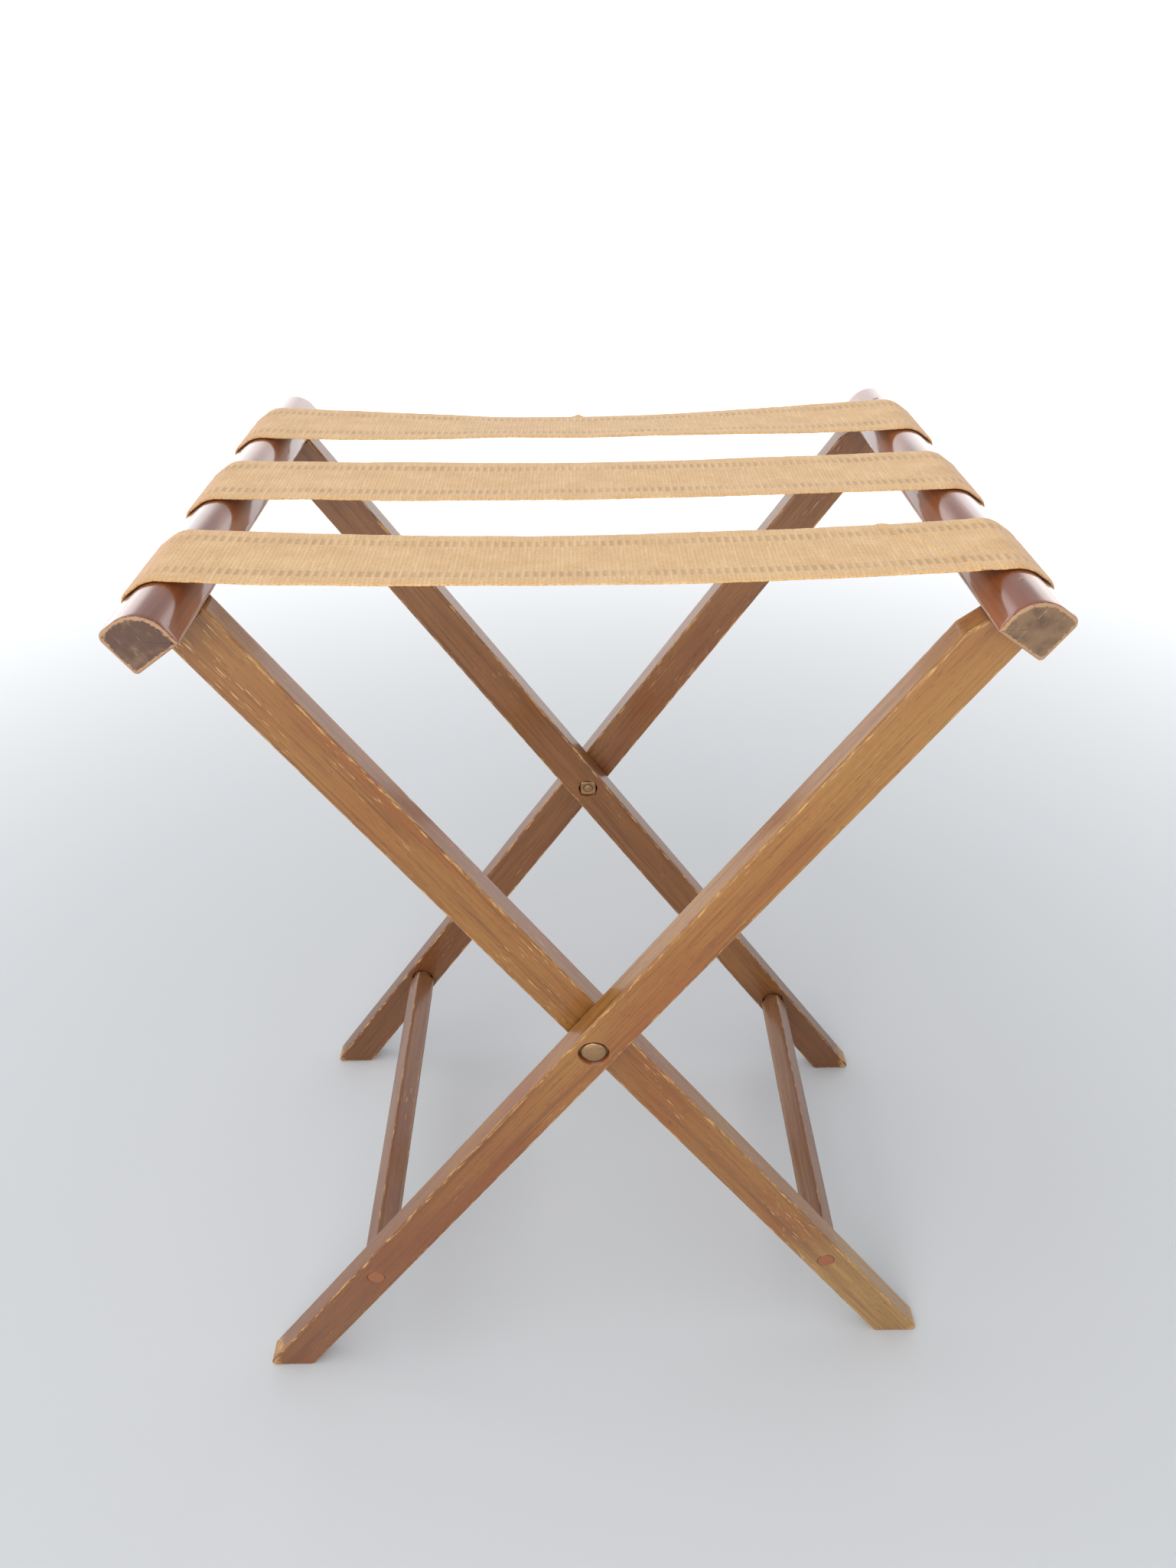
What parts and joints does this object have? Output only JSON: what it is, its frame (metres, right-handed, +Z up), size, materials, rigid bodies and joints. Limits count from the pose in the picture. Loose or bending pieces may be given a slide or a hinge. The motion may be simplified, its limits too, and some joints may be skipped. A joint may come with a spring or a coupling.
{
  "type": "folding luggage rack",
  "caption": "Folding luggage rack: crossed hardwood legs on bolt pivots, rounded top rails and a stretcher on each frame, jute webbing straps across the top.",
  "frame": {"origin": "on the floor, midway between the four feet, with the rack open", "axes": "+Z up, +X to the right, the way the outer frame's top leans; +Y to the back, along the rails and the pivot"},
  "size_m": [0.437, 0.322, 0.5625],
  "materials": {
    "leg_wood": "satin stained hardwood, worn",
    "rail_wood": "gloss lacquered hardwood",
    "webbing": "plain woven jute webbing",
    "steel": "dull, tarnished",
    "tack_metal": "antiqued"
  },
  "bodies": {
    "outer_frame": {"outer_leg_front": "leg_wood", "outer_leg_back": "leg_wood", "outer_top_rail": "rail_wood", "outer_stretcher": "leg_wood", "outer_rail_tacks": "tack_metal", "outer_rail_brads": "steel", "front_strap_outer_wrap": "webbing", "middle_strap_outer_wrap": "webbing", "back_strap_outer_wrap": "webbing"},
    "inner_frame": {"inner_leg_front": "leg_wood", "inner_leg_back": "leg_wood", "inner_top_rail": "rail_wood", "inner_stretcher": "leg_wood", "inner_rail_tacks": "tack_metal", "inner_rail_brads": "steel", "front_strap_inner_wrap": "webbing", "middle_strap_inner_wrap": "webbing", "back_strap_inner_wrap": "webbing", "pivot_bolt_front": "steel", "pivot_bolt_back": "steel", "square_nut_front": "steel", "square_nut_back": "steel", "head_washer_front": "steel", "head_washer_back": "steel", "spacer_washer_front": "steel", "spacer_washer_back": "steel"},
    "left_straps": {"front_strap_inner_span": "webbing", "middle_strap_inner_span": "webbing", "back_strap_inner_span": "webbing"},
    "right_straps": {"front_strap_outer_span": "webbing", "middle_strap_outer_span": "webbing", "back_strap_outer_span": "webbing"}
  },
  "joints": [
    {"name": "fold", "type": "hinge", "parent": "outer_frame", "child": "inner_frame", "pos_m": [0, 0, 0.2927], "axis": [0, 1, 0], "range_deg": [0, 64.4], "deforming": ["front_strap_inner_span", "middle_strap_inner_span", "back_strap_inner_span", "front_strap_outer_span", "middle_strap_outer_span", "back_strap_outer_span"]},
    {"name": "left_straps_swing", "type": "hinge", "parent": "inner_frame", "child": "left_straps", "pos_m": [-0.18154, 0, 0.54572], "axis": [0, 1, 0], "range_deg": [0, 54.8]},
    {"name": "right_straps_swing", "type": "hinge", "parent": "outer_frame", "child": "right_straps", "pos_m": [0.18154, 0, 0.54572], "axis": [0, -1, 0], "range_deg": [0, 59.63]}
  ],
  "couplings": [
    {"joint": "left_straps_swing", "follows": "fold", "ratio": 0.85093},
    {"joint": "right_straps_swing", "follows": "fold", "ratio": 0.92593}
  ]
}
